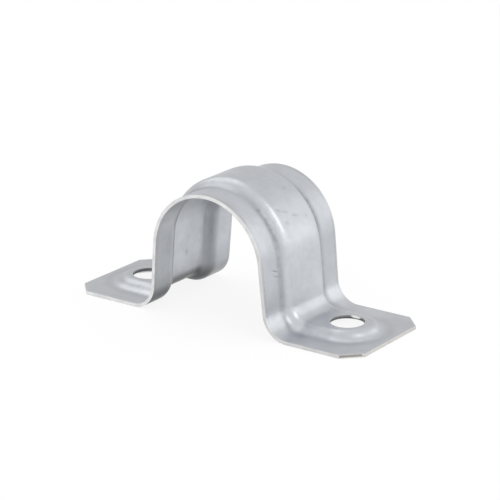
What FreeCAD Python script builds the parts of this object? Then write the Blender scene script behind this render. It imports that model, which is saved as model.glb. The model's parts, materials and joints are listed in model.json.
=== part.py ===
import FreeCAD, Part
import math
import os

from FreeCAD import Vector

# Two-hole conduit strap, pressed from one strip of zinc-plated steel.
# Frame: origin in the middle of the plane that the feet rest on, X from foot to foot,
# Y along the conduit, Z up through the top of the arch. Millimetres.

# Driving dimensions
sheet = 0.55                # thickness of the strip
overall_length = 52.8       # toe to toe
foot_width = 19.05          # strip width at the feet
crown_width = 19.8          # strip width over the top, where pressing has spread the arch
corner_clip = 2.7           # 45 degree clip on each toe corner
arch_radius = 10.1          # outer face of the flat flange, over the conduit
arch_centre_height = 10.35  # arch axis above the mounting plane
leg_splay = 5.0             # degrees that each leg leans outwards on its way down
foot_bend_radius = 3.65     # outer face of the bend from leg to foot
rib_height = 1.2            # how far the crest of the rib stands out of the flange
rib_crest_half = 3.3        # half of the flat crest
rib_base_half = 5.8         # half of the rib where it leaves the flange
hole_spacing = 37.5         # centre to centre
hole_radius = 2.6

# Worked out from them
splay = math.radians(leg_splay)
hole_x = hole_spacing / 2
toe_x = overall_length / 2
overall_height = arch_centre_height + arch_radius + rib_height
shoulder_run = rib_base_half - rib_crest_half
shoulder_radius = (shoulder_run ** 2 + rib_height ** 2) / (4 * rib_height)
shoulder_turn = 2 * math.atan2(rib_height, shoulder_run)
trim_margin = 1.0           # how far the untrimmed sheet stands past the strip's outline

along_conduit = Vector(0, 1, 0)
leg_out = Vector(math.cos(splay), 0, math.sin(splay))
leg_down = Vector(math.sin(splay), 0, -math.cos(splay))
arch_centre = Vector(0, 0, arch_centre_height)
leg_top = arch_centre + leg_out * arch_radius
leg_drop = leg_top.z + foot_bend_radius * leg_out.z - sheet - foot_bend_radius
leg_length = leg_drop / math.cos(splay)
bend_centre = leg_top + leg_down * leg_length + leg_out * foot_bend_radius
foot_start = Vector(bend_centre.x, 0, sheet)
hole_centre = Vector(hole_x, 0, sheet)


def arc(centre, radius, start, end):
    """Points of an arc in the section plane: its start, its middle and its end."""
    angles = (start, (start + end) / 2, end)
    return [(centre[0] + radius * math.cos(a), centre[1] + radius * math.sin(a)) for a in angles]


def shoulder(depth):
    """The rib's shoulder at positive y, from crest to flange, as two tangent arcs.

    depth is how far the face lies below the outer face of the sheet.
    """
    crest = (rib_crest_half, rib_height - shoulder_radius)
    base = (rib_base_half, shoulder_radius)
    upright = math.pi / 2
    over = arc(crest, shoulder_radius - depth, upright, upright - shoulder_turn)
    under = arc(base, shoulder_radius + depth, -upright - shoulder_turn, -upright)
    return [over, under]


def mirrored(strokes):
    """The same strokes on the other side of the rib, run the other way."""
    return [[(-y, n) for y, n in reversed(stroke)] for stroke in reversed(strokes)]


def drawn_face(strokes, place):
    """A face from strokes of two or three points each, closed by straight lines between them."""
    edges = []
    for index, stroke in enumerate(strokes):
        points = [place(y, n) for y, n in stroke]
        if len(points) == 3:
            edges.append(Part.Arc(*points).toShape())
        following = place(*strokes[(index + 1) % len(strokes)][0])
        if points[-1].distanceToPoint(following) > 1e-6:
            edges.append(Part.LineSegment(points[-1], following).toShape())
    return Part.Face(Part.Wire(edges))


def sheet_section(origin, outward, reach):
    """Cross-section of the ribbed sheet, flange to flange, at a point of its outer face."""
    outer = shoulder(0.0)
    inner = shoulder(sheet)
    strokes = mirrored(outer) + outer
    strokes += [[(reach, 0.0)], [(reach, -sheet)]]
    strokes += [stroke[::-1] for stroke in reversed(inner)]
    strokes += [stroke[::-1] for stroke in reversed(mirrored(inner))]
    strokes += [[(-reach, -sheet)], [(-reach, 0.0)]]
    return drawn_face(strokes, lambda y, n: origin + along_conduit * y + outward * n)


def half_section(origin, outward, reach):
    """The half of that cross-section at positive y, from the middle of the crest."""
    outer = shoulder(0.0)
    inner = shoulder(sheet)
    strokes = [[(0.0, rib_height)]] + outer
    strokes += [[(reach, 0.0)], [(reach, -sheet)]]
    strokes += [stroke[::-1] for stroke in reversed(inner)]
    strokes += [[(0.0, rib_height - sheet)]]
    return drawn_face(strokes, lambda y, n: origin + along_conduit * y + outward * n)


def arch():
    """The half circle over the conduit, from one leg to the other."""
    section = sheet_section(leg_top, leg_out, crown_width / 2 + trim_margin)
    return section.revolve(arch_centre, along_conduit, -(180 - 2 * leg_splay))


def leg():
    """The straight run from the arch down to the foot's bend."""
    section = sheet_section(leg_top, leg_out, crown_width / 2 + trim_margin)
    return section.extrude(leg_down * leg_length)


def foot_bend():
    """The concave bend that turns the leg into the foot."""
    leg_foot = leg_top + leg_down * leg_length
    section = sheet_section(leg_foot, leg_out, crown_width / 2 + trim_margin)
    return section.revolve(bend_centre, along_conduit, -(90 - leg_splay))


def foot():
    """The flat foot: the rib runs out to the hole and ends in a half round about it."""
    up = Vector(0, 0, 1)
    section = sheet_section(foot_start, up, crown_width / 2 + trim_margin)
    run = section.extrude(hole_centre - foot_start)
    toe_reach = math.hypot(toe_x - hole_x, foot_width / 2) + trim_margin
    end = half_section(hole_centre, up, toe_reach).revolve(hole_centre, up, -180)
    return run.fuse(end)


def strip_outline():
    """Everything inside the trimmed strip: tapered sides and clipped toe corners."""
    low = Vector(-toe_x, -foot_width / 2, 0)
    side = [
        low,
        Vector(-toe_x, foot_width / 2, 0),
        Vector(-toe_x, crown_width / 2, overall_height),
        Vector(-toe_x, -crown_width / 2, overall_height),
        low,
    ]
    bar = Part.Face(Part.makePolygon(side)).extrude(Vector(overall_length, 0, 0))
    straight_y = foot_width / 2 - corner_clip
    past_y = crown_width / 2 + trim_margin
    past_x = toe_x - (past_y - straight_y)
    corners = [(toe_x, straight_y), (past_x, past_y), (-past_x, past_y), (-toe_x, straight_y)]
    corners += [(-x, -y) for x, y in corners]
    plan = [Vector(x, y, 0) for x, y in corners + corners[:1]]
    prism = Part.Face(Part.makePolygon(plan)).extrude(Vector(0, 0, overall_height))
    return bar.common(prism)


def screw_hole(side):
    """A cylinder through the foot on one side."""
    base = Vector(side * hole_x, 0, -trim_margin)
    return Part.makeCylinder(hole_radius, sheet + rib_height + 2 * trim_margin, base)


def strap():
    """The whole strap as one piece of sheet."""
    side = leg().fuse([foot_bend(), foot()])
    other = side.mirror(Vector(0, 0, 0), Vector(1, 0, 0))
    pressed = arch().fuse([side, other])
    trimmed = pressed.common(strip_outline())
    drilled = trimmed.cut([screw_hole(-1), screw_hole(1)])
    return drilled.removeSplitter()


os.makedirs("parts", exist_ok=True)
whole = strap()
piece = whole.Solids[0]
print("solids", len(whole.Solids), "valid", piece.isValid(), "volume", round(piece.Volume, 1))
piece.exportStep("parts/strap.step")
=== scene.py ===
"""Looks of a pressed, zinc-plated conduit strap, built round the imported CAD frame."""

import json
import logging
import math
from dataclasses import dataclass, field
from enum import Enum
from functools import reduce

import bmesh
import bpy
from bmesh.types import BMEdge, BMesh, BMVert
from bpy.types import Material, Node, NodeTree
from bpy.types import NodeSocket as Socket
from mathutils import Matrix, Vector, noise

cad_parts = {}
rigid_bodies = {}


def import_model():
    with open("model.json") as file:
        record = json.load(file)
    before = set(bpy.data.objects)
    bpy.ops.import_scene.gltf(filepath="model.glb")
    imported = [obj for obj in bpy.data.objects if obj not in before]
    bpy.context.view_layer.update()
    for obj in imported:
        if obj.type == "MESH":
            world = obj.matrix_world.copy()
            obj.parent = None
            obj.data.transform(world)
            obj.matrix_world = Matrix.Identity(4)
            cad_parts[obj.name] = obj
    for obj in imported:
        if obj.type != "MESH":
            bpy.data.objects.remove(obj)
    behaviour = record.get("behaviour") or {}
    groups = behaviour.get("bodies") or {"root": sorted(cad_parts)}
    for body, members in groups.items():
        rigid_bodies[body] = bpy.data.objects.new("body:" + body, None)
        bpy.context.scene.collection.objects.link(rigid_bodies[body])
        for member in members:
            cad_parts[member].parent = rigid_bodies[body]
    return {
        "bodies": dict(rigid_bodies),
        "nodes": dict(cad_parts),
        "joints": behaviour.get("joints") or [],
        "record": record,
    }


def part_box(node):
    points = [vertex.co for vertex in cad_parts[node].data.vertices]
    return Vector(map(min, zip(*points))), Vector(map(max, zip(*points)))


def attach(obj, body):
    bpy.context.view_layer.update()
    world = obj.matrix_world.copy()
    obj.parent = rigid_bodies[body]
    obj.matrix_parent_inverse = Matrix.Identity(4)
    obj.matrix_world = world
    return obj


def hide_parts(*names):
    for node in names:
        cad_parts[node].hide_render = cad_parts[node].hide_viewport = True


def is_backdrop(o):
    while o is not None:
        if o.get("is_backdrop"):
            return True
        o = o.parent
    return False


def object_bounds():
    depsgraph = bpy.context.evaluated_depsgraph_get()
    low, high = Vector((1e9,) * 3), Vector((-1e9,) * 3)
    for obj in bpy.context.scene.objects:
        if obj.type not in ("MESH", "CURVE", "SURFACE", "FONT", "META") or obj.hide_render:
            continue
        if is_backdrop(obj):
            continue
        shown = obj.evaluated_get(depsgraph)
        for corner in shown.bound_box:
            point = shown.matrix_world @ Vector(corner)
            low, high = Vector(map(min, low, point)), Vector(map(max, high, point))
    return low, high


LOG = logging.getLogger("strap")
Span = tuple[float, float]
Triple = tuple[float, float, float]
MM = 0.001
TOUCH = 0.001 * MM
WELD = 0.002 * MM
TO_RIGHT = Vector((1.0, 0.0, 0.0))
UP = Vector((0.0, 0.0, 1.0))
ALONG_CONDUIT = Vector((0.0, 1.0, 0.0))


def mm(*sizes: float) -> tuple:
    """Turn millimetres into metres."""
    return tuple(size * MM for size in sizes)


def degrees(*angles: float) -> tuple:
    """Turn degrees into radians."""
    return tuple(math.radians(angle) for angle in angles)


class Mask(Enum):
    """Marks on the sheet's points that its finishes read: painted shade in the groove and on the inner rear
    flank, painted highlights on the rib and the flange, and the rim.
    """

    GROOVE_SHADE = "groove"
    RIDGE_HIGHLIGHT = "ridge"
    RIM = "rim"
    FLANGE_HIGHLIGHT = "burnish"
    FLANK_SHADE = "flank"


class Slot(Enum):
    """Material slots: each outer finish is followed by that of its cut rim and that of its inner side."""

    SIDES = 0
    HOLES = 3
    CLIP = 6
    TOE = 9


class Axis(Enum):
    """Which part of a place a change runs along."""

    SIDE = 0
    HEIGHT = 2


@dataclass
class StrapSizes:
    """Sizes of the strap in metres and radians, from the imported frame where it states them."""

    toe_x: float
    side_half: float
    saddle_radius: float
    arch_z: float
    hole_x: float
    hole_radius: float
    sheet: float
    rib_height: float
    foot_half: float = 9.525 * MM
    corner_clip: float = 2.7 * MM
    leg_splay: float = math.radians(5.0)
    bend_radius: float = 3.65 * MM
    crest_half: float = 3.3 * MM
    rib_half: float = 5.8 * MM

    @classmethod
    def from_frame(cls, frame: dict) -> "StrapSizes":
        """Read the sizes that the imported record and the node's box state.


        Returns:
            The strap's sizes.
        """
        mounts = {mount["name"]: mount for mount in frame["record"]["mounts"]}
        saddle, holes = mounts["conduit_saddle"], mounts["screw_holes"]
        _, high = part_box("strap")
        saddle_radius = saddle["dims"]["r_mm"] * MM
        arch_z = saddle["pos_m"][2]
        pressed = high.z - arch_z - saddle_radius
        sheet = 2 * (pressed - holes["pos_m"][2])
        return cls(
            toe_x=high.x,
            side_half=high.y,
            saddle_radius=saddle_radius,
            arch_z=arch_z,
            hole_x=holes["dims"]["spacing_x_mm"] * MM / 2,
            hole_radius=holes["dims"]["hole_r_mm"] * MM,
            sheet=sheet,
            rib_height=pressed - sheet,
        )

    @property
    def arch_radius(self) -> float:
        """Radius of the flange's outer face over the conduit."""
        return self.saddle_radius + self.sheet

    @property
    def shoulder_radius(self) -> float:
        """Radius of the two tangent arcs that make one shoulder of the rib."""
        run = self.rib_half - self.crest_half
        return (run**2 + self.rib_height**2) / (4 * self.rib_height)

    @property
    def shoulder_turn(self) -> float:
        """Angle that each of those arcs turns through."""
        return 2 * math.atan2(self.rib_height, self.rib_half - self.crest_half)

    def half_width(self, height: float) -> float:
        """Half of the strip's width at a height: the arch is a little wider than the feet."""
        share = height / (self.arch_z + self.arch_radius)
        return self.foot_half + (self.side_half - self.foot_half) * share

    def across(self, place: Vector) -> float:
        """Distance of a point from the rib's middle line, or from the hole's axis beyond it."""
        return math.hypot(max(abs(place.x) - self.hole_x, 0.0), place.y)

    def rim_distance(self, direction: Vector) -> float:
        """Distance from the hole's centre to the foot's outline.

        Args:
            direction: unit vector in plan, pointing away from the arch.

        Returns:
            The distance to the nearest of the side, the clip and the toe.
        """
        half = self.half_width(self.sheet)
        across = max(abs(direction.y), 1e-9)
        ahead = max(direction.x, 1e-9)
        to_clip = (self.toe_x + half - self.corner_clip - self.hole_x) / (ahead + across)
        return min(half / across, (self.toe_x - self.hole_x) / ahead, to_clip)

    def to_rim(self, place: Vector) -> float:
        """Distance of a point from the strip's cut rim.

        Args:
            place: the point.

        Returns:
            The distance, measured from the hole's axis beyond it.
        """
        if abs(place.x) <= self.hole_x:
            return self.half_width(place.z) - abs(place.y)
        arm = Vector((abs(place.x) - self.hole_x, abs(place.y), 0.0))
        return self.rim_distance(arm.normalized()) - arm.length


def hump(value: float, centre: float, reach: float) -> float:
    """A smooth rise to 1 at a centre, which is back at 0 a reach away from it."""
    off = (value - centre) / reach
    return max(0.0, 1.0 - off * off) ** 2


def ease(value: float, start: float, end: float) -> float:
    """A smooth rise from 0 at the start to 1 at the end."""
    share = min(max((value - start) / (end - start), 0.0), 1.0)
    return share * share * (3.0 - 2.0 * share)


def even_places(start: float, end: float, steps: int) -> list[float]:
    """Evenly spaced places after a start, up to and with an end."""
    return [start + (end - start) * step / steps for step in range(1, steps + 1)]


@dataclass(frozen=True)
class PaintedLightAndWearMap:
    """Where shade and highlights are painted on the sheet, and where its rim is toned.

    A reach is half of a mark's width, and a pair is where a change starts and where it ends.
    """

    sizes: StrapSizes
    groove_in: float = 0.5 * MM
    groove_reach: float = 0.85 * MM
    rear_reach: float = 1.3 * MM
    groove_shift: float = 1.2 * MM
    groove_start: Span = mm(11.0, 13.5)
    ridge_out: float = 1.05 * MM
    ridge_reach: float = 0.7 * MM
    ridge_shift: float = 0.5 * MM
    ridge_spread: float = 0.9 * MM
    ridge_start: Span = mm(11.6, 13.6)
    # Half the width of the painted shade on the inner rear flank.
    flank_reach: float = 1.7 * MM
    rim_reach: float = 0.9 * MM
    # How strongly painted shade and painted highlights mark the crown, the legs and the feet.
    crown_weight: float = 0.4
    leg_weight: float = 0.6
    foot_weight: float = 0.2
    haunch: Span = degrees(28.0, 48.0)
    below_haunch: Span = degrees(68.0, 82.0)
    on_foot: Span = mm(11.5, 14.5)
    # A painted highlight on the rib's shoulder along the feet, brightest just past the bend.
    foot_ridge: float = 0.5
    round_hole: Span = mm(20.0, 23.0)
    turned_ridge: float = 1.1
    turned_centre: float = 14.5 * MM
    turned_reach: float = 4.5 * MM
    # A painted highlight on the crest down the legs.
    crest_highlight_level: float = 0.55
    crest_highlight_bearing: Span = degrees(60.0, 78.0)
    crest_highlight_height: Span = mm(3.0, 6.0)
    # A painted highlight on the flange in the bends and along the right foot.
    flange_highlight_height: float = 2.7 * MM
    flange_highlight_reach: float = 1.9 * MM
    foot_highlight: float = 1.0
    foot_centre: float = 17.5 * MM
    foot_reach: float = 6.0 * MM

    def shares(self, place: Vector) -> dict[Mask, float]:
        """How strongly each mask marks a point.

        Args:
            place: the point.

        Returns:
            The share of each mask.
        """
        s = self.sizes
        across = s.across(place)
        painted_light_weight = self.painted_light_weight(place)
        rear = place.y > 0.0
        groove = s.rib_half - self.groove_in + self.groove_shift * ease(abs(place.x), *self.groove_start)
        flank = (s.crest_half + s.rib_half) / 2.0
        return {
            Mask.GROOVE_SHADE: painted_light_weight * hump(across, groove, self.rear_reach if rear else self.groove_reach),
            Mask.RIDGE_HIGHLIGHT: max(self.ridge(place, across, painted_light_weight), self.crest_highlight(place, across)),
            Mask.FLANK_SHADE: painted_light_weight * hump(across, flank, self.flank_reach) if rear else 0.0,
            Mask.RIM: max(0.0, 1.0 - s.to_rim(place) / self.rim_reach),
            Mask.FLANGE_HIGHLIGHT: self.burnish(place) * ease(across, s.rib_half, s.rib_half + MM),
        }

    def bearing(self, place: Vector) -> float:
        """Angle of a point round the arch's axis, from the top."""
        return math.atan2(abs(place.x), place.z - self.sizes.arch_z)

    def painted_light_weight(self, place: Vector) -> float:
        """How strongly painted shade and painted highlights mark the rib at a point: most at the haunches of
        the arch.

        Args:
            place: the point.

        Returns:
            A share.
        """
        bearing = self.bearing(place)
        risen = self.crown_weight + (1.0 - self.crown_weight) * ease(bearing, *self.haunch)
        eased = risen - (1.0 - self.leg_weight) * ease(bearing, *self.below_haunch)
        return eased - (self.leg_weight - self.foot_weight) * ease(abs(place.x), *self.on_foot)

    def ridge(self, place: Vector, across: float, painted_light_weight: float) -> float:
        """How strongly a painted highlight lies on the rib's shoulder, which widens from the bend on.

        Args:
            place: the point.
            across: its distance across the rib.
            painted_light_weight: how strongly painted light marks the rib there.

        Returns:
            A share, 0 off the ridge.
        """
        along = abs(place.x)
        foot = ease(along, *self.ridge_start)
        turned = self.turned_ridge * hump(along, self.turned_centre, self.turned_reach)
        eased = self.foot_ridge * (1.0 - ease(along, *self.round_hole))
        centre = self.sizes.crest_half + self.ridge_out + self.ridge_shift * foot
        reach = self.ridge_reach + self.ridge_spread * foot
        return max(painted_light_weight, (eased + turned) * foot) * hump(across, centre, reach)

    def crest_highlight(self, place: Vector, across: float) -> float:
        """How strongly a painted highlight lies on the rib's crest down the leg: 0 off the crest."""
        down = ease(self.bearing(place), *self.crest_highlight_bearing) * ease(place.z, *self.crest_highlight_height)
        return self.crest_highlight_level * down * (1.0 - ease(across - self.sizes.crest_half, 0.0, MM))

    def burnish(self, place: Vector) -> float:
        """How strongly a painted highlight lies on the flange in the bends and along the right foot."""
        pressed = hump(place.z, self.flange_highlight_height, self.flange_highlight_reach)
        return max(pressed, self.foot_highlight * hump(place.x, self.foot_centre, self.foot_reach))


def add_object(name: str, data: bpy.types.ID) -> bpy.types.Object:
    """Make an object of some data and link it to the scene.

    Args:
        name: the object's name.
        data: its mesh, lamp or camera.

    Returns:
        The object.
    """
    made = bpy.data.objects.new(name, data)
    bpy.context.collection.objects.link(made)
    return made


@dataclass
class PressedStrap:
    """The strap as one sheet: its outer face is swept, then given its thickness."""

    sizes: StrapSizes
    hole_steps: int = 12
    crest_steps: int = 3
    shoulder_steps: int = 6
    flange_steps: int = 8
    arch_steps: int = 64
    leg_steps: int = 16
    bend_steps: int = 18
    run_steps: int = 14
    end_steps: tuple[int, ...] = (10, 8, 32, 8, 10)
    edge_round: float = 0.08 * MM
    edge_segments: int = 3
    sharp_angle: float = math.radians(60.0)
    beside_hole: float = 0.12 * MM
    wave_size: float = 5.0 * MM
    wave_depth: float = 0.06 * MM
    calm_height: float = 2.5 * MM
    mesh: BMesh = field(default_factory=bmesh.new)

    def build(self) -> bpy.types.Object:
        """Model the strap.

        Returns:
            The finished object, linked to the scene.
        """
        chain = self.draw_section()
        chain = self.sweep_arch(chain)
        chain = self.drop_leg(chain)
        chain = self.turn_bend(chain)
        chain = self.run_to_hole(chain)
        self.turn_round_hole(chain)
        self.fit_outline()
        self.mirror_across()
        self.wear_shape()
        self.mark_rims()
        return self.finish_object()

    def step_out(self, vert: BMVert, places: list[tuple]) -> BMVert:
        """Carry the section on from a point through further points.

        Args:
            vert: the point to start from.
            places: the y and z of each further point.

        Returns:
            The last point.
        """
        for y, z in places:
            grown = bmesh.ops.extrude_vert_indiv(self.mesh, verts=[vert])
            vert = grown["verts"][0]
            vert.co = (0.0, y, z)
        return vert

    def draw_arc(self, vert: BMVert, y: float, z: float, turn: float) -> BMVert:
        """Carry the section on round an arc about y and z, anticlockwise seen from +X."""
        return self.sweep([vert], Vector((0.0, y, z)), TO_RIGHT, turn, self.shoulder_steps)[0]

    def draw_section(self) -> list:
        """Draw the outer face's cross-section at the top of the arch.

        Returns:
            The section's points and edges, from flange to flange.
        """
        s = self.sizes
        flange_z = s.arch_z + s.arch_radius
        crest_z = flange_z + s.rib_height
        turns = even_places(0.0, math.pi / 2, self.hole_steps)
        hole_places = [s.hole_radius * math.sin(turn) for turn in turns]
        crest_places = even_places(s.hole_radius, s.crest_half, self.crest_steps)
        flange_places = even_places(s.rib_half, s.foot_half, self.flange_steps)

        middle = self.mesh.verts.new((0.0, 0.0, crest_z))
        vert = self.step_out(middle, [(y, crest_z) for y in hole_places + crest_places])
        vert = self.draw_arc(vert, s.crest_half, crest_z - s.shoulder_radius, -s.shoulder_turn)
        vert = self.draw_arc(vert, s.rib_half, flange_z + s.shoulder_radius, s.shoulder_turn)
        self.step_out(vert, [(y, flange_z) for y in flange_places])
        half = self.mesh.verts[:] + self.mesh.edges[:]
        bmesh.ops.mirror(self.mesh, geom=half, matrix=Matrix(), merge_dist=TOUCH, axis="Y")
        return self.mesh.verts[:] + self.mesh.edges[:]

    def sweep(self, chain: list, centre: Vector, axis: Vector, angle: float, steps: int) -> list:
        """Spin a chain of edges about an axis and return the chain it ends on."""
        swept = bmesh.ops.spin(self.mesh, geom=chain, cent=centre, axis=axis, angle=angle, steps=steps)
        return swept["geom_last"]

    @property
    def leg_out(self) -> Vector:
        """Outward normal of the leg."""
        return Vector((math.cos(self.sizes.leg_splay), 0.0, math.sin(self.sizes.leg_splay)))

    @property
    def leg_down(self) -> Vector:
        """Direction that the leg runs in, from the arch to the bend."""
        return Vector((math.sin(self.sizes.leg_splay), 0.0, -math.cos(self.sizes.leg_splay)))

    @property
    def leg_length(self) -> float:
        """Length of the straight leg.

        Returns:
            The length.
        """
        s = self.sizes
        drop = s.arch_z + (s.arch_radius + s.bend_radius) * self.leg_out.z - s.sheet - s.bend_radius
        return drop / math.cos(s.leg_splay)

    @property
    def bend_centre(self) -> Vector:
        """Centre of the bend between leg and foot.

        Returns:
            The point.
        """
        s = self.sizes
        leg_top = UP * s.arch_z + self.leg_out * s.arch_radius
        return leg_top + self.leg_down * self.leg_length + self.leg_out * s.bend_radius

    def sweep_arch(self, chain: list) -> list:
        """Spin the section down one side of the arch, from its top to the top of the leg."""
        angle = math.pi / 2 - self.sizes.leg_splay
        return self.sweep(chain, UP * self.sizes.arch_z, ALONG_CONDUIT, angle, self.arch_steps)

    def drop_leg(self, chain: list) -> list:
        """Extrude the section down the straight leg.

        Args:
            chain: the section at the top of the leg.

        Returns:
            The section where the bend starts.
        """
        step = self.leg_down * (self.leg_length / self.leg_steps)
        for _ in range(self.leg_steps):
            chain = self.extrude(chain)
            bmesh.ops.translate(self.mesh, verts=self.verts_of(chain), vec=step)
        return chain

    def turn_bend(self, chain: list) -> list:
        """Spin the section round the bend, from the end of the leg to the start of the flat foot."""
        angle = self.sizes.leg_splay - math.pi / 2
        return self.sweep(chain, self.bend_centre, ALONG_CONDUIT, angle, self.bend_steps)

    def run_to_hole(self, chain: list) -> list:
        """Extrude the foot up to the hole, so that its last row wraps the hole's near half.

        Args:
            chain: the section where the flat foot starts.

        Returns:
            The section level with the hole's centre.
        """
        s = self.sizes
        start_x = self.bend_centre.x
        for row in range(1, self.run_steps + 1):
            before = chain
            chain = self.extrude(chain)
            for vert in self.verts_of(chain):
                notch = math.sqrt(max(s.hole_radius**2 - vert.co.y**2, 0.0))
                vert.co.x = start_x + (s.hole_x - notch - start_x) * row / self.run_steps
        for vert in self.verts_of(before):
            if abs(abs(vert.co.y) - s.hole_radius) < TOUCH:
                vert.co.y += math.copysign(self.beside_hole, vert.co.y)
        return chain

    def turn_round_hole(self, chain: list) -> None:
        """Spin the half of the section beyond the hole's edge round the hole's own axis.

        Args:
            chain: the section level with the hole's centre.
        """
        s = self.sizes
        reach = s.hole_radius - TOUCH
        half = [vert for vert in self.verts_of(chain) if vert.co.y > reach]
        kept = set(half)
        edges = [edge for edge in self.edges_of(chain) if set(edge.verts) <= kept]
        arm = half + edges
        centre = Vector((s.hole_x, 0.0, 0.0))
        for span, steps in zip(self.end_spans(), self.end_steps):
            arm = self.sweep(arm, centre, UP, -span, steps)
        bmesh.ops.remove_doubles(self.mesh, verts=self.mesh.verts[:], dist=WELD)

    def end_spans(self) -> list[float]:
        """Angles between the toe corners, seen from the hole, so that a row falls on each corner.

        Returns:
            The angles, from the side of the foot round to the other side.
        """
        s = self.sizes
        half = s.half_width(s.sheet)
        side_corner = math.atan2(s.toe_x - s.corner_clip - s.hole_x, half)
        toe_corner = math.atan2(s.toe_x - s.hole_x, half - s.corner_clip)
        corner = toe_corner - side_corner
        return [side_corner, corner, math.pi - 2 * toe_corner, corner, side_corner]

    def fit_outline(self) -> None:
        """Stretch the flange so that its rim follows the strip's sides and the clipped toe."""
        s = self.sizes
        flange = s.foot_half - s.rib_half
        hole = Vector((s.hole_x, 0.0, 0.0))
        for vert in self.mesh.verts:
            if vert.co.x > s.hole_x:
                arm = Vector((vert.co.x, vert.co.y, 0.0)) - hole
                share = (arm.length - s.rib_half) / flange
                if share > 0.0:
                    way = arm.normalized()
                    reach = s.rib_half + share * (s.rim_distance(way) - s.rib_half)
                    vert.co.xy = (hole + way * reach).xy
                continue
            share = (abs(vert.co.y) - s.rib_half) / flange
            if share > 0.0:
                reach = s.rib_half + share * (s.half_width(vert.co.z) - s.rib_half)
                vert.co.y = math.copysign(reach, vert.co.y)

    def extrude(self, chain: list) -> list:
        """Extrude a chain of edges in place and return the new points and edges."""
        grown = bmesh.ops.extrude_edge_only(self.mesh, edges=self.edges_of(chain))["geom"]
        return [item for item in grown if not isinstance(item, bmesh.types.BMFace)]

    def verts_of(self, chain: list) -> list[BMVert]:
        """The points of a chain."""
        return [item for item in chain if isinstance(item, BMVert)]

    def edges_of(self, chain: list) -> list[BMEdge]:
        """The edges of a chain."""
        return [item for item in chain if isinstance(item, BMEdge)]

    def mirror_across(self) -> None:
        """Mirror the finished half to the other side and close the seam at the top."""
        everything = self.mesh.verts[:] + self.mesh.edges[:] + self.mesh.faces[:]
        bmesh.ops.mirror(self.mesh, geom=everything, matrix=Matrix(), merge_dist=TOUCH, axis="X")
        bmesh.ops.remove_doubles(self.mesh, verts=self.mesh.verts[:], dist=WELD)
        bmesh.ops.recalc_face_normals(self.mesh, faces=self.mesh.faces[:])
        top = max(self.mesh.faces, key=lambda face: face.calc_center_median().z)
        if top.normal.z < 0.0:
            bmesh.ops.reverse_faces(self.mesh, faces=self.mesh.faces[:])

    def wear_shape(self) -> None:
        """Mark the painted shade, the painted highlights and the rim on every point, then press faint
        unevenness into the arch and the legs.
        """
        self.mesh.normal_update()
        light_and_wear = PaintedLightAndWearMap(self.sizes)
        layers = {mask: self.mesh.verts.layers.float.new(mask.value) for mask in Mask}
        moves = []
        for vert in self.mesh.verts:
            for mask, share in light_and_wear.shares(vert.co).items():
                vert[layers[mask]] = share
            height = min(max((vert.co.z - self.calm_height) / self.calm_height, 0.0), 1.0)
            depth = 0.5 + 0.5 * noise.noise(vert.co / self.wave_size)
            moves.append(vert.normal * (-self.wave_depth * height * depth))
        for vert, move in zip(self.mesh.verts, moves):
            vert.co += move

    def mark_rims(self) -> None:
        """Give the faces beside the holes, the front right clip and the toes the slots of their own rims."""
        s = self.sizes
        for face in self.mesh.faces:
            if not any(edge.is_boundary for edge in face.edges):
                continue
            centre = face.calc_center_median()
            if s.across(centre) < s.crest_half:
                face.material_index = Slot.HOLES.value
            elif centre.x > s.toe_x - s.corner_clip and centre.y < s.corner_clip - s.foot_half:
                face.material_index = Slot.CLIP.value
            elif abs(centre.x) > s.toe_x - s.corner_clip:
                face.material_index = Slot.TOE.value

    def finish_object(self) -> bpy.types.Object:
        """Give the sheet its thickness and softened edges.

        Returns:
            The object, at the origin.
        """
        data = bpy.data.meshes.new("strap_sheet")
        self.mesh.to_mesh(data)
        self.mesh.free()
        data.shade_smooth()
        strap = add_object("strap_sheet", data)
        solid = strap.modifiers.new("sheet", "SOLIDIFY")
        solid.thickness = self.sizes.sheet
        solid.offset = -1.0
        solid.use_even_offset = True
        solid.material_offset_rim = 1
        solid.material_offset = 2
        rounding = strap.modifiers.new("edges", "BEVEL")
        rounding.width = self.edge_round
        rounding.segments = self.edge_segments
        rounding.limit_method = "ANGLE"
        rounding.angle_limit = self.sharp_angle
        rounding.use_clamp_overlap = False
        weights = strap.modifiers.new("normals", "WEIGHTED_NORMAL")
        weights.keep_sharp = True
        return strap


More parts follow.
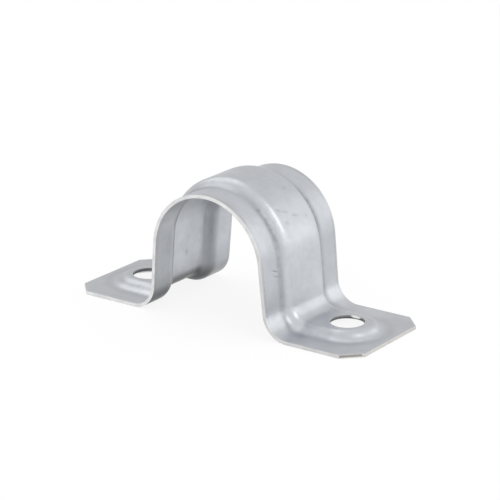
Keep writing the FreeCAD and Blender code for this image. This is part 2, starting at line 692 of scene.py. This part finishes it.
@dataclass
class Wiring:
    """Adds nodes to one tree and joins them."""

    tree: NodeTree

    def node(self, kind: str, inputs: dict | None = None, **settings: object) -> Node:
        """Add a node with its settings made and its inputs set or joined.

        Args:
            kind: the node's type.
            inputs: input name or number, with the value or the socket that feeds it.
            settings: the node's own properties.

        Returns:
            The node.
        """
        made = self.tree.nodes.new(kind)
        for name, value in settings.items():
            setattr(made, name, value)
        for key, value in (inputs or {}).items():
            if isinstance(value, Socket):
                self.tree.links.new(value, made.inputs[key])
            else:
                made.inputs[key].default_value = value
        return made

    def math(self, operation: str, *values: object) -> Socket:
        """Join numbers or sockets with one sum, in the order of the node's inputs."""
        return self.node("ShaderNodeMath", dict(enumerate(values)), operation=operation).outputs[0]

    def product(self, *values: object) -> Socket:
        """Multiply numbers or sockets."""
        return reduce(lambda first, second: self.math("MULTIPLY", first, second), values)

    def span(self, value: object, span: tuple, low: object, high: object) -> Socket:
        """Map part of a value's range smoothly to another range."""
        inputs = {"Value": value, "From Min": span[0], "From Max": span[1], "To Min": low, "To Max": high}
        return self.node("ShaderNodeMapRange", inputs, interpolation_type="SMOOTHSTEP").outputs["Result"]

    def blend(self, share: object, first: object, second: object) -> Socket:
        """Blend two colours.

        Args:
            share: how much of the second.
            first: the first colour.
            second: the second colour.

        Returns:
            The blended colour's socket.
        """
        inputs = {"Factor": share}
        for number, colour in ((6, first), (7, second)):
            inputs[number] = colour if isinstance(colour, Socket) else (*colour, 1.0)
        return self.node("ShaderNodeMix", inputs, data_type="RGBA").outputs[2]

    def attribute(self, mask: Mask) -> Socket:
        """Read one of the sheet's own masks."""
        return self.node("ShaderNodeAttribute", attribute_name=mask.value).outputs["Fac"]

    def fill(self, tree: NodeTree, inputs: dict[str, object]) -> Socket:
        """Place a node group and set its inputs."""
        return self.node("ShaderNodeGroup", inputs, node_tree=tree).outputs[0]

    def object_place(self) -> Socket:
        """Object coordinates."""
        return self.node("ShaderNodeTexCoord").outputs["Object"]

    def parts(self, vector: Socket) -> tuple:
        """The three parts of a vector."""
        return tuple(self.node("ShaderNodeSeparateXYZ", {"Vector": vector}).outputs)

    def feed(self, surface: Node, sockets: dict[str, Socket]) -> None:
        """Join sockets to a shader's inputs."""
        for name, socket in sockets.items():
            self.tree.links.new(socket, surface.inputs[name])


def start_material(name: str) -> tuple[Material, Wiring, Node]:
    """Make a node material.

    Args:
        name: the material's name.

    Returns:
        The material, its wiring and its Principled shader.
    """
    material = bpy.data.materials.new(name)
    material.use_nodes = True
    return material, Wiring(material.node_tree), material.node_tree.nodes["Principled BSDF"]


@dataclass
class SharedEffects:
    """Node groups that more than one finish uses."""

    cloud: NodeTree = field(init=False)
    streaks: NodeTree = field(init=False)
    mark: NodeTree = field(init=False)

    def __post_init__(self) -> None:
        """Build each group once."""
        self.cloud = self.build_cloud()
        self.streaks = self.build_streaks()
        self.mark = self.build_mark()

    def start(self, name: str, vectors: tuple, numbers: tuple = ()) -> tuple[Wiring, dict[str, Socket]]:
        """Start a group with its inputs and one Mask output.

        Args:
            name: the group's name.
            vectors: names of its vector inputs.
            numbers: names of its number inputs.

        Returns:
            The group's wiring and what its inputs give.
        """
        tree = bpy.data.node_groups.new(name, "ShaderNodeTree")
        for labels, kind in ((vectors, "NodeSocketVector"), (numbers, "NodeSocketFloat")):
            for label in labels:
                tree.interface.new_socket(label, in_out="INPUT", socket_type=kind)
        tree.interface.new_socket("Mask", in_out="OUTPUT", socket_type="NodeSocketFloat")
        wiring = Wiring(tree)
        return wiring, wiring.node("NodeGroupInput").outputs

    def end(self, wiring: Wiring, mask: Socket) -> NodeTree:
        """Give a group its Mask."""
        wiring.node("NodeGroupOutput", {"Mask": mask})
        return wiring.tree

    def build_cloud(self) -> NodeTree:
        """Soft patches between 0 and 1.

        Returns:
            The group.
        """
        wiring, given = self.start("patches", ("Vector",), ("Scale", "Softness"))
        grain = {"Vector": given["Vector"], "Scale": given["Scale"], "Detail": 4.0, "Roughness": 0.55}
        cloud = wiring.node("ShaderNodeTexNoise", grain).outputs[0]
        ends = tuple(wiring.math(way, 0.5, given["Softness"]) for way in ("SUBTRACT", "ADD"))
        return self.end(wiring, wiring.span(cloud, ends, 0.0, 1.0))

    def build_streaks(self) -> NodeTree:
        """Fine drawn lines: stretched noise, with only its peaks kept.

        Returns:
            The group.
        """
        wiring, given = self.start("streaks", ("Vector", "Stretch"), ("Scale", "Share"))
        peak_start, peak_end = 0.75, 0.8
        drawn = wiring.node("ShaderNodeMapping", {"Vector": given["Vector"], "Scale": given["Stretch"]})
        grain = {"Vector": drawn.outputs[0], "Scale": given["Scale"], "Detail": 5.0, "Roughness": 0.6}
        lines = wiring.node("ShaderNodeTexNoise", grain).outputs[0]
        low = wiring.math("SUBTRACT", peak_start, given["Share"])
        return self.end(wiring, wiring.span(lines, (low, peak_end), 0.0, 1.0))

    def build_mark(self) -> NodeTree:
        """One soft mark of a given place, turn and size.

        Returns:
            The group.
        """
        wiring, given = self.start("mark", ("Vector", "Centre", "Turn", "Reach"))
        lies = {"Location": given["Centre"], "Rotation": given["Turn"], "Scale": given["Reach"]}
        place = wiring.node("ShaderNodeMapping", {"Vector": given["Vector"]} | lies, vector_type="TEXTURE")
        ball = wiring.node("ShaderNodeTexGradient", {"Vector": place.outputs[0]}, gradient_type="SPHERICAL")
        return self.end(wiring, ball.outputs["Fac"])

    def patches(self, wiring: Wiring, place: object, scale: float, softness: float) -> Socket:
        """Place the soft patches in a material."""
        return wiring.fill(self.cloud, {"Vector": place, "Scale": scale, "Softness": softness})

    def lines(self, wiring: Wiring, place: object, stretch: Triple, scale: float, share: float) -> Socket:
        """Place the drawn lines in a material."""
        pattern = {"Vector": place, "Stretch": stretch, "Scale": scale, "Share": share}
        return wiring.fill(self.streaks, pattern)


@dataclass(frozen=True)
class Dent:
    """A small handling mark in the sheet.

    It lies at a bearing round the arch from its top, then a drop down the leg, and across from the middle
    line. Lengths are in millimetres and angles in degrees.
    """

    bearing: float
    across: float
    length: float
    width: float
    depth: float
    turn: float = 0.0
    drop: float = 0.0
    radius: float = 11.3
    thickness: float = 0.5

    def build(self, wiring: Wiring, mark: NodeTree, arch_z: float) -> Socket:
        """The mark's mask, weighted by its depth.

        Args:
            wiring: the material's wiring.
            mark: the node group of one soft mark.
            arch_z: height of the arch's axis.

        Returns:
            The mask's socket.
        """
        bearing, turn = math.radians(self.bearing), math.radians(self.turn)
        out = Vector((math.sin(bearing), 0.0, math.cos(bearing)))
        down = Vector((math.cos(bearing), 0.0, -math.sin(bearing))) * math.copysign(1.0, self.bearing)
        centre = (out * self.radius + down * self.drop + ALONG_CONDUIT * self.across) * MM + UP * arch_z
        along = ALONG_CONDUIT * math.cos(turn) + down * math.sin(turn)
        lie = Matrix((along, out.cross(along), out)).transposed().to_euler()
        reach = mm(self.length / 2, self.width / 2, self.thickness / 2)
        lies = {"Vector": wiring.object_place(), "Centre": centre, "Turn": lie, "Reach": reach}
        return wiring.span(wiring.fill(mark, lies), (0.0, 1.0), 0.0, self.depth)


@dataclass(frozen=True)
class ZincFinish:
    """Bright zinc plating on pressed steel: satin, faintly clouded, with painted shade in the grooves and
    painted highlights on the ridges.

    The broad and the fine patches are given by their scale and their softness.
    """

    name: str = "zinc_plated_steel"
    light: Triple = (0.555, 0.572, 0.60)
    dark: Triple = (0.475, 0.49, 0.517)
    # The next colour is the painted shade, which the dents take too.
    groove: Triple = (0.22, 0.23, 0.245)
    # The next colour is the painted highlight.
    ridge: Triple = (0.74, 0.755, 0.78)
    rim: Triple = (0.56, 0.55, 0.53)
    # The next colour is a painted shadow under the bends.
    contact_shadow: Triple = (0.075, 0.077, 0.08)
    broad: Span = (180.0, 0.22)
    fine: Span = (900.0, 0.3)
    broad_part: float = 0.7
    fine_part: float = 0.3
    drawn_stretch: Triple = (0.25, 1.6, 0.25)
    drawn_scale: float = 1500.0
    drawn_share: float = 0.22
    smooth: float = 0.31
    rough: float = 0.4
    gloss_span: Span = (0.2, 0.9)
    drawn_rough: float = 0.06
    relief: float = 0.035 * MM
    fine_relief: float = 0.16
    drawn_relief: float = -0.05
    dent_relief: float = 2.0
    dent_share: float = 0.4
    least_worn: float = 0.6
    # These shares lay painted shade in the groove and on the flank, painted highlights on the rib and the
    # flange, and the rim's tone.
    groove_shade_share: float = 1.0
    ridge_share: float = 0.5
    rim_share: float = 0.35
    flank_shade_share: float = 0.0
    flange_highlight_share: float = 0.3
    # These draw a darker line about half a millimetre inside the rim, on the arch and the legs.
    rim_line_rise: Span = (0.2, 0.5)
    rim_line_fall: Span = (0.5, 0.8)
    rim_line_share: float = 0.3
    rim_line_height: Span = mm(1.5, 4.0)
    rim_line_patches: Span = (0.3, 0.7)
    least_rim_line: float = 0.3
    # This makes the left foot a little darker.
    left_darkening: float = 0.12
    left_span: Span = mm(-16.0, -12.0)
    # These paint shade inside under the crown and behind the front edge.
    crown_shade: float = 0.0
    crown_span: Span = mm(11.0, 15.5)
    front_shade: float = 0.0
    front_span: Span = mm(-6.2, -5.4)
    # These paint a shadow on the undersides of the bends, lighter towards the rear.
    contact_shadow_share: float = 0.0
    under_span: Span = (-0.6, 0.15)
    contact_span: Span = mm(3.0, 7.0)
    bend_span: Span = mm(14.5, 16.5)
    rear_span: Span = mm(3.0, 8.0)
    rear_shadow_share: float = 0.5
    dents: tuple[Dent, ...] = ()

    def build(self, effects: SharedEffects, arch_z: float) -> Material:
        """Make the material.

        Args:
            effects: the shared node groups.
            arch_z: height of the arch's axis.

        Returns:
            The material.
        """
        material, wiring, surface = start_material(self.name)
        place = wiring.object_place()
        broad = effects.patches(wiring, place, *self.broad)
        fine = effects.patches(wiring, place, *self.fine)
        drawn = effects.lines(wiring, place, self.drawn_stretch, self.drawn_scale, self.drawn_share)
        patches = wiring.math("MULTIPLY", fine, self.fine_part)
        patches = wiring.math("MULTIPLY_ADD", broad, self.broad_part, patches)
        dents = 0.0
        for dent in self.dents:
            dents = wiring.math("ADD", dents, dent.build(wiring, effects.mark, arch_z))

        colour = wiring.blend(patches, self.dark, self.light)
        colour = self.light_and_wear(wiring, colour, broad, fine)
        colour = self.shade(wiring, colour, place, fine)
        colour = wiring.blend(wiring.math("MULTIPLY", dents, self.dent_share), colour, self.groove)

        gloss = wiring.span(patches, self.gloss_span, self.rough, self.smooth)
        gloss = wiring.math("MULTIPLY_ADD", drawn, self.drawn_rough, gloss)

        relief = wiring.math("MULTIPLY_ADD", fine, self.fine_relief, broad)
        relief = wiring.math("MULTIPLY_ADD", drawn, self.drawn_relief, relief)
        relief = wiring.math("MULTIPLY_ADD", dents, -self.dent_relief, relief)
        bump = wiring.node("ShaderNodeBump", {"Height": relief, "Strength": 1.0, "Distance": self.relief})
        surface.inputs["Metallic"].default_value = 1.0
        wiring.feed(surface, {"Base Color": colour, "Roughness": gloss, "Normal": bump.outputs[0]})
        return material

    def light_and_wear(self, wiring: Wiring, colour: object, broad: object, fine: object) -> Socket:
        """Work the sheet's marks into the colour, each broken up a little: painted shade in the groove and
        on the flank, painted highlights on the rib and the flange, and the rim's tone.

        Args:
            wiring: the material's wiring.
            colour: the colour so far.
            broad: large patches.
            fine: small patches.

        Returns:
            The worn colour's socket.
        """
        light_and_wear_marks = (
            (Mask.GROOVE_SHADE, fine, self.groove_shade_share, self.groove),
            (Mask.FLANK_SHADE, broad, self.flank_shade_share, self.groove),
            (Mask.RIDGE_HIGHLIGHT, fine, self.ridge_share, self.ridge),
            (Mask.FLANGE_HIGHLIGHT, fine, self.flange_highlight_share, self.ridge),
            (Mask.RIM, fine, self.rim_share, self.rim),
        )
        for mask, break_up, share, tone in light_and_wear_marks:
            patchy = wiring.span(break_up, (0.0, 1.0), self.least_worn * share, share)
            colour = wiring.blend(wiring.math("MULTIPLY", wiring.attribute(mask), patchy), colour, tone)
        return colour

    def shade(self, wiring: Wiring, colour: object, place: object, fine: object) -> Socket:
        """Darken the colour: a darker line inside the rim on the arch and the legs, the left foot a little,
        painted shade inside under the crown and behind the front edge, and a painted shadow on the
        undersides of the bends.

        Args:
            wiring: the material's wiring.
            colour: the colour so far.
            place: Object coordinates.
            fine: small patches.

        Returns:
            The shaded colour's socket.
        """
        side, depth, height = wiring.parts(place)
        rim = wiring.attribute(Mask.RIM)
        rim_line = wiring.product(
            wiring.span(rim, self.rim_line_rise, 0.0, self.rim_line_share),
            wiring.span(height, self.rim_line_height, 0.0, 1.0),
            wiring.span(rim, self.rim_line_fall, 1.0, 0.0),
            wiring.span(fine, self.rim_line_patches, self.least_rim_line, 1.0),
        )
        colour = wiring.blend(rim_line, colour, self.groove)
        colour = wiring.blend(wiring.span(side, self.left_span, self.left_darkening, 0.0), colour, self.groove)
        under_crown = wiring.span(height, self.crown_span, 0.0, self.crown_shade)
        behind_front = wiring.span(depth, self.front_span, self.front_shade, 0.0)
        colour = wiring.blend(wiring.math("MAXIMUM", under_crown, behind_front), colour, self.groove)
        facing = wiring.node("ShaderNodeNewGeometry").outputs["Normal"]
        contact_shadow_mask = wiring.product(
            wiring.span(wiring.parts(facing)[2], self.under_span, self.contact_shadow_share, 0.0),
            wiring.span(height, self.contact_span, 1.0, 0.0),
            wiring.span(wiring.math("ABSOLUTE", side), self.bend_span, 1.0, 0.0),
            wiring.span(depth, self.rear_span, 1.0, self.rear_shadow_share),
        )
        return wiring.blend(contact_shadow_mask, colour, self.contact_shadow)


@dataclass(frozen=True)
class Glint:
    """A painted highlight: a bright fleck on a cut edge; its centre and reach are in millimetres."""

    centre: Triple
    reach: Triple
    core: float = 0.5

    def build(self, wiring: Wiring, mark: NodeTree) -> Socket:
        """The fleck's mask, full inside its core."""
        lies = {"Vector": wiring.object_place(), "Centre": mm(*self.centre), "Reach": mm(*self.reach)}
        return wiring.span(wiring.fill(mark, lies), (0.0, self.core), 0.0, 1.0)


@dataclass(frozen=True)
class EdgeFinish:
    """The sheared edge of the sheet, streaked through its thickness, toned in a band along one axis, and
    given painted highlights where it has glints.
    """

    name: str
    light: Triple
    dark: Triple
    metallic: float = 0.35
    roughness: Span = (0.38, 0.55)
    patches: Span = (500.0, 0.25)
    streak_stretch: Triple = (1.0, 0.3, 1.0)
    streak_scale: float = 900.0
    streak_share: float = 0.3
    relief: float = 0.02 * MM
    skin: Triple = (0.7, 0.7, 0.7)
    skin_axis: Axis = Axis.HEIGHT
    skin_span: Span = (0.0, 1.0)
    skin_share: Span = (0.0, 0.0)
    glint: Triple = (1.0, 1.0, 1.0)
    glints: tuple[Glint, ...] = ()

    def build(self, effects: SharedEffects) -> Material:
        """Make the material.

        Args:
            effects: the shared node groups.

        Returns:
            The material.
        """
        material, wiring, surface = start_material(self.name)
        place = wiring.object_place()
        patches = effects.patches(wiring, place, *self.patches)
        streaks = effects.lines(wiring, place, self.streak_stretch, self.streak_scale, self.streak_share)
        shade = wiring.math("MULTIPLY", wiring.math("ADD", streaks, patches), 0.5)
        colour = wiring.blend(shade, self.light, self.dark)
        skin = wiring.span(wiring.parts(place)[self.skin_axis.value], self.skin_span, *self.skin_share)
        colour = wiring.blend(skin, colour, self.skin)
        for glint in self.glints:
            colour = wiring.blend(glint.build(wiring, effects.mark), colour, self.glint)
        gloss = wiring.span(shade, (0.0, 1.0), *self.roughness)
        bump = wiring.node("ShaderNodeBump", {"Height": shade, "Strength": 1.0, "Distance": self.relief})
        surface.inputs["Metallic"].default_value = self.metallic
        wiring.feed(surface, {"Base Color": colour, "Roughness": gloss, "Normal": bump.outputs[0]})
        return material


def towards(azimuth: float, elevation: float) -> Vector:
    """Unit vector away from the strap: bearing 0 is the front and 90 the right, in degrees."""
    bearing, rise = math.radians(azimuth), math.radians(elevation)
    return Vector((math.sin(bearing) * math.cos(rise), -math.cos(bearing) * math.cos(rise), math.sin(rise)))


@dataclass(frozen=True)
class SoftLamp:
    """A large soft lamp aimed at the strap."""

    name: str
    azimuth: float
    elevation: float
    distance: float
    size: float
    power: float

    def build(self, aim: Vector) -> None:
        """Hang the lamp.

        Args:
            aim: the point it is turned to.
        """
        away = towards(self.azimuth, self.elevation)
        data = bpy.data.lights.new(self.name, "AREA")
        data.shape = "DISK"
        data.size = self.size
        data.energy = self.power
        lamp = add_object(self.name, data)
        lamp.location = aim + away * self.distance
        lamp.rotation_euler = away.to_track_quat("Z", "Y").to_euler()


@dataclass(frozen=True)
class Studio:
    """Pale floor, soft lamps and pale surroundings."""

    lamps: tuple[SoftLamp, ...]
    world_level: float = 1.0
    left_levels: Span = (0.8, 0.95)
    left_rise: Span = (0.35, 0.8)
    left_side: Span = (-0.6, 0.2)
    floor_radius: float = 1.5
    floor_seen: float = 0.88
    floor_mirrored: float = 1.0
    floor_colour: Triple = (0.9, 0.9, 0.9)
    floor_roughness: float = 0.9
    floor_sides: int = 96

    def build(self, low: Vector, high: Vector) -> None:
        """Set the stage round the strap.

        Args:
            low: the lowest corner of the strap's box.
            high: the highest corner of the strap's box.
        """
        centre = (low + high) / 2
        for lamp in self.lamps:
            lamp.build(centre)
        self.light_world()
        self.lay_floor(low.z)

    def light_world(self) -> None:
        """Plain white surroundings, a little darker to the left except straight to the camera."""
        world = bpy.data.worlds.new("studio")
        bpy.context.scene.world = world
        world.use_nodes = True
        wiring = Wiring(world.node_tree)
        direction = wiring.node("ShaderNodeTexCoord").outputs["Generated"]
        side, _, rise = wiring.parts(direction)
        left = wiring.span(rise, self.left_rise, *self.left_levels)
        shade = wiring.span(side, self.left_side, left, self.world_level)
        seen = wiring.node("ShaderNodeLightPath").outputs["Is Camera Ray"]
        background = world.node_tree.nodes["Background"]
        background.inputs["Color"].default_value = (1.0, 1.0, 1.0, 1.0)
        wiring.feed(background, {"Strength": wiring.math("MAXIMUM", shade, seen)})

    def floor_material(self) -> Material:
        """A pale matt floor that mostly glows white to the camera, in reflections and through glass.

        Returns:
            The material.
        """
        material, wiring, matt = start_material("pale_floor")
        matt.inputs["Base Color"].default_value = (*self.floor_colour, 1.0)
        matt.inputs["Roughness"].default_value = self.floor_roughness
        matt.inputs["Specular IOR Level"].default_value = 0.0
        path = wiring.node("ShaderNodeLightPath").outputs
        share = wiring.math("MULTIPLY", path["Is Camera Ray"], self.floor_seen)
        for ray in ("Is Glossy Ray", "Is Transmission Ray"):
            share = wiring.math("MULTIPLY_ADD", path[ray], self.floor_mirrored, share)
        white = wiring.node("ShaderNodeEmission", {"Strength": 1.0})
        mixed = wiring.node("ShaderNodeMixShader", {"Fac": share, 1: matt.outputs[0], 2: white.outputs[0]})
        output = material.node_tree.nodes["Material Output"]
        wiring.feed(output, {"Surface": mixed.outputs[0]})
        return material

    def lay_floor(self, height: float) -> None:
        """Lay a pale round floor under the strap.

        Args:
            height: how high the floor lies.
        """
        mesh = bmesh.new()
        bmesh.ops.create_circle(mesh, cap_ends=True, segments=self.floor_sides, radius=self.floor_radius)
        bmesh.ops.translate(mesh, verts=mesh.verts[:], vec=(0.0, 0.0, height))
        data = bpy.data.meshes.new("floor")
        mesh.to_mesh(data)
        mesh.free()
        floor = add_object("floor", data)
        data.materials.append(self.floor_material())
        floor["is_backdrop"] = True


@dataclass(frozen=True)
class ViewCamera:
    """The camera, held by its bearing, its distance and where the aim falls in the frame."""

    azimuth: float = 36.52
    elevation: float = 18.97
    roll: float = -0.62
    distance: float = 327.6 * MM
    lens: float = 155.3
    sensor: float = 36.0
    clip_ratio: float = 100.0
    aim_height: float = 8.0 * MM
    aim_right: float = -0.272 * MM
    aim_up: float = -0.586 * MM
    shift: Span = (0.0066, 0.0079)

    def build(self) -> None:
        """Place the camera and make it the scene's own."""
        roll = math.radians(self.roll)
        back = towards(self.azimuth, self.elevation)
        level_right = UP.cross(back).normalized()
        level_up = back.cross(level_right)
        right = level_right * math.cos(roll) + level_up * math.sin(roll)
        up = level_up * math.cos(roll) - level_right * math.sin(roll)
        data = bpy.data.cameras.new("camera")
        data.lens = self.lens
        data.sensor_width = self.sensor
        data.shift_x, data.shift_y = self.shift
        data.clip_start = self.distance / self.clip_ratio
        data.clip_end = self.distance * self.clip_ratio
        place = UP * self.aim_height + back * self.distance - right * self.aim_right - up * self.aim_up
        turn = Matrix((right, up, back)).transposed().to_4x4()
        camera = add_object("camera", data)
        camera.matrix_world = Matrix.Translation(place) @ turn
        bpy.context.scene.camera = camera


OUTER_DENTS = (
    Dent(bearing=47.5, across=-3.0, length=1.6, width=1.0, depth=0.6, turn=40.0),
    Dent(bearing=50.5, across=-1.9, length=2.6, width=0.9, depth=0.5, turn=18.0),
    Dent(bearing=56.0, across=-0.2, length=2.8, width=0.8, depth=0.7, turn=16.0),
    Dent(bearing=59.5, across=-2.5, length=1.6, width=1.1, depth=0.6, turn=30.0),
    Dent(bearing=60.0, across=2.3, length=1.2, width=0.9, depth=0.4),
    Dent(bearing=32.5, across=1.7, length=1.5, width=1.3, depth=0.5),
    Dent(bearing=53.0, across=8.2, length=1.2, width=1.0, depth=0.35, radius=9.9),
    Dent(bearing=54.0, across=-5.5, length=0.6, width=0.9, depth=1.0, radius=10.3),
    Dent(bearing=60.0, across=-5.2, length=0.6, width=1.1, depth=1.0, radius=10.4),
    Dent(bearing=85.0, across=-6.4, length=2.6, width=0.5, depth=1.2, turn=24.0, drop=1.6, radius=10.15),
    Dent(bearing=85.0, across=-6.2, length=1.8, width=0.45, depth=0.8, turn=24.0, drop=2.5, radius=10.15),
)
INNER_DENTS = (
    Dent(bearing=-85.0, across=-0.2, length=1.0, width=1.6, depth=1.0, drop=4.4, radius=10.75),
    Dent(bearing=-85.0, across=0.3, length=1.2, width=2.6, depth=0.3, drop=2.0, turn=15.0, radius=10.75),
)


def main() -> None:
    """Build the strap, its finish and the stage."""
    logging.basicConfig(level=logging.INFO, format="%(name)s: %(message)s")
    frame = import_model()
    cad_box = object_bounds()
    sizes = StrapSizes.from_frame(frame)
    strap = PressedStrap(sizes).build()
    effects = SharedEffects()
    # The outer zinc has painted shade in the grooves and painted highlights on the rib and the flange.
    zinc = ZincFinish(dents=OUTER_DENTS).build(effects, sizes.arch_z)
    # The inside is a shaded copy of the zinc: painted shade in the groove, on the rear flank, under the
    # crown and behind the front edge, and a painted shadow under the bends.
    inside = ZincFinish(
        name="zinc_inside_painted_shade",
        groove_shade_share=0.9,
        flank_shade_share=1.15,
        ridge_share=0.0,
        flange_highlight_share=0.0,
        crown_shade=0.55,
        front_shade=0.4,
        contact_shadow_share=1.0,
        dents=INNER_DENTS,
    ).build(effects, sizes.arch_z)
    rims = (
        # The cut edge turns darker towards the right, from 7 mm to 10 mm right of the middle.
        EdgeFinish(
            "cut_edge",
            light=(0.82, 0.82, 0.82),
            dark=(0.55, 0.55, 0.55),
            skin=(0.5, 0.5, 0.505),
            skin_axis=Axis.SIDE,
            skin_span=mm(7.0, 10.0),
            skin_share=(0.0, 0.45),
        ),
        # The holes' walls are near-black, painted shade inside the holes, lighter in a band at the top, with
        # a painted highlight on the right hole's far rim.
        EdgeFinish(
            "punched_edge",
            light=(0.12, 0.12, 0.125),
            dark=(0.03, 0.03, 0.03),
            skin=(0.5, 0.51, 0.52),
            skin_span=mm(1.45, 1.6),
            skin_share=(0.0, 0.35),
            glints=(Glint((18.6, 2.58, 1.64), (1.1, 0.5, 0.34)),),
        ),
        EdgeFinish(
            "sheared_clip",
            light=(0.36, 0.34, 0.31),
            dark=(0.12, 0.11, 0.10),
            skin_span=mm(0.1, 0.25),
            skin_share=(0.9, 0.0),
        ),
        EdgeFinish("sheared_toe", light=(0.62, 0.605, 0.575), dark=(0.45, 0.44, 0.42)),
    )
    for rim in rims:
        for finish in (zinc, rim.build(effects), inside):
            strap.data.materials.append(finish)
    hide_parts("strap")
    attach(strap, "root")
    LOG.info("%s: %d faces before thickness", strap.name, len(strap.data.polygons))
    lamps = (
        SoftLamp("front_left", azimuth=-35.0, elevation=10.0, distance=0.5, size=0.3, power=0.1),
        SoftLamp("right_low", azimuth=92.0, elevation=5.0, distance=0.5, size=0.6, power=0.27),
        SoftLamp("right_high", azimuth=85.0, elevation=42.0, distance=0.5, size=0.3, power=0.3),
        SoftLamp("back_right", azimuth=140.0, elevation=4.0, distance=0.5, size=0.7, power=0.45),
        SoftLamp("left_high", azimuth=-105.0, elevation=50.0, distance=0.5, size=0.5, power=0.3),
    )
    Studio(lamps).build(*cad_box)
    ViewCamera().build()
    bpy.context.scene.view_settings.view_transform = "Standard"


if __name__ == "__main__":
    main()
